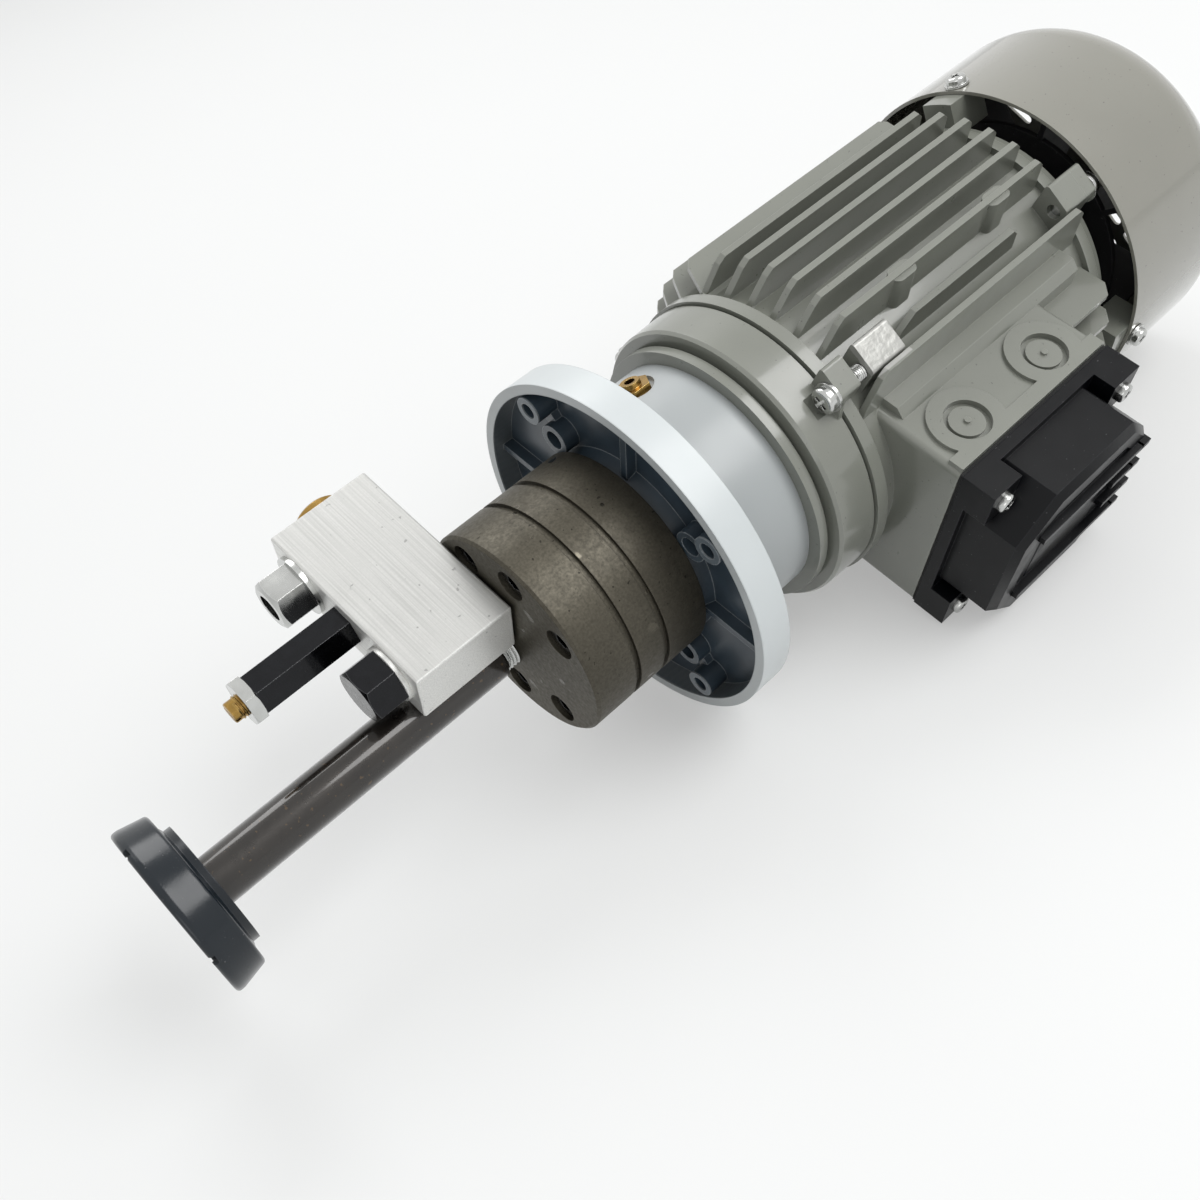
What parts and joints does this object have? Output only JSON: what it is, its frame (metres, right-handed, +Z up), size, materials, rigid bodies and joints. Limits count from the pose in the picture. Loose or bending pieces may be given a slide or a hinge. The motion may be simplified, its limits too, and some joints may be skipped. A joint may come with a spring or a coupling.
{
  "type": "electric lubrication pump",
  "caption": "Electric lubrication pump: finned motor with terminal box, bell flange, gear pump, manifold block with relief valve, suction pipe and strainer.",
  "frame": {"origin": "centre of the mounting flange's front face, on the motor axis", "axes": "+X along the motor axis from the strainer to the fan cover, -Y towards the terminal box, +Z up"},
  "size_m": [0.4225, 0.1665, 0.124],
  "materials": {
    "flange_paint": "satin",
    "motor_paint": "satin",
    "cover_paint": "gloss",
    "pump_steel": "oiled",
    "block_aluminium": "brushed",
    "oiled_steel": "oiled",
    "black_steel": "black oxide",
    "zinc_steel": "zinc plated",
    "ground_steel": "ground",
    "spring_steel": "drawn",
    "core_steel": "laminated",
    "copper": "varnished",
    "brass": "turned",
    "bronze": "sintered",
    "strainer_plastic": "semi gloss",
    "terminal_plastic": "semi gloss",
    "board_plastic": "moulded",
    "fan_plastic": "moulded",
    "rubber": "matt"
  },
  "bodies": {
    "housing": {"flange_bell": "flange_paint", "bell_brass_fitting": "brass", "front_shield": "motor_paint", "shield_screws": "zinc_steel", "shield_washers": "zinc_steel", "motor_frame": "motor_paint", "stator_core": "core_steel", "stator_winding": "copper", "front_bearing_outer_ring": "ground_steel", "rear_bearing_outer_ring": "ground_steel", "rear_shield": "motor_paint", "rear_shield_screws": "zinc_steel", "rear_shield_washers": "zinc_steel", "fan_cover": "cover_paint", "fan_cover_screws": "zinc_steel", "fan_cover_washers": "zinc_steel", "terminal_gasket": "rubber", "terminal_cover": "terminal_plastic", "terminal_cover_screws": "zinc_steel", "terminal_board": "board_plastic", "terminal_studs": "brass", "pump_front_plate": "pump_steel", "pump_ring_plate": "pump_steel", "pump_rear_plate": "pump_steel", "pump_bush": "bronze", "pump_shaft_seal": "rubber", "pump_screws": "black_steel", "manifold_block": "block_aluminium", "manifold_bolt": "black_steel", "manifold_bolt_washer": "block_aluminium", "port_seal": "rubber", "outlet_plug": "zinc_steel", "outlet_plug_seal": "zinc_steel", "gallery_plug": "brass", "relief_valve_body": "black_steel", "relief_lock_nut": "zinc_steel", "relief_spring": "spring_steel", "suction_pipe": "oiled_steel", "strainer_body": "strainer_plastic", "strainer_screen": "ground_steel", "strainer_ring": "strainer_plastic"},
    "rotor": {"motor_shaft": "ground_steel", "rotor_core": "core_steel", "cooling_fan": "fan_plastic", "shaft_coupling": "ground_steel", "coupling_key": "ground_steel", "pump_shaft": "ground_steel", "gerotor_inner": "ground_steel", "front_bearing_inner_ring": "ground_steel", "rear_bearing_inner_ring": "ground_steel"},
    "outer_gerotor": {"gerotor_outer": "ground_steel"},
    "front_cage": {"front_bearing_ball_cage": "ground_steel"},
    "rear_cage": {"rear_bearing_ball_cage": "ground_steel"},
    "spring_seat": {"relief_spring_seat": "ground_steel"},
    "adjuster": {"relief_adjuster": "brass"},
    "poppet": {"relief_poppet": "ground_steel"}
  },
  "joints": [
    {"name": "rotor_spin", "type": "hinge", "parent": "housing", "child": "rotor", "pos_m": [0, 0, 0], "axis": [1, 0, 0], "continuous": true},
    {"name": "outer_gerotor_spin", "type": "hinge", "parent": "housing", "child": "outer_gerotor", "pos_m": [-0.022, 0, -0.0024], "axis": [1, 0, 0], "continuous": true},
    {"name": "front_cage_spin", "type": "hinge", "parent": "housing", "child": "front_cage", "pos_m": [0.0523, 0, 0], "axis": [1, 0, 0], "continuous": true},
    {"name": "rear_cage_spin", "type": "hinge", "parent": "housing", "child": "rear_cage", "pos_m": [0.1775, 0, 0], "axis": [1, 0, 0], "continuous": true},
    {"name": "adjuster_travel", "type": "slide", "parent": "housing", "child": "spring_seat", "axis": [1, 0, 0], "range_m": [0, 0.002]},
    {"name": "adjuster_turn", "type": "hinge", "parent": "spring_seat", "child": "adjuster", "pos_m": [-0.12, 0.0342, 0.0083], "axis": [1, 0, 0], "range_deg": [0, 720]},
    {"name": "poppet_lift", "type": "slide", "parent": "housing", "child": "poppet", "axis": [-1, 0, 0], "range_m": [0, 0.002], "stiffness_N_per_m": 2000, "springref_m": -0.002, "deforming": ["relief_spring"]}
  ],
  "couplings": [
    {"joint": "outer_gerotor_spin", "follows": "rotor_spin", "ratio": 0.8},
    {"joint": "front_cage_spin", "follows": "rotor_spin", "ratio": 0.38},
    {"joint": "rear_cage_spin", "follows": "rotor_spin", "ratio": 0.38},
    {"joint": "adjuster_turn", "follows": "adjuster_travel", "rad_per_m": 6283.2}
  ]
}
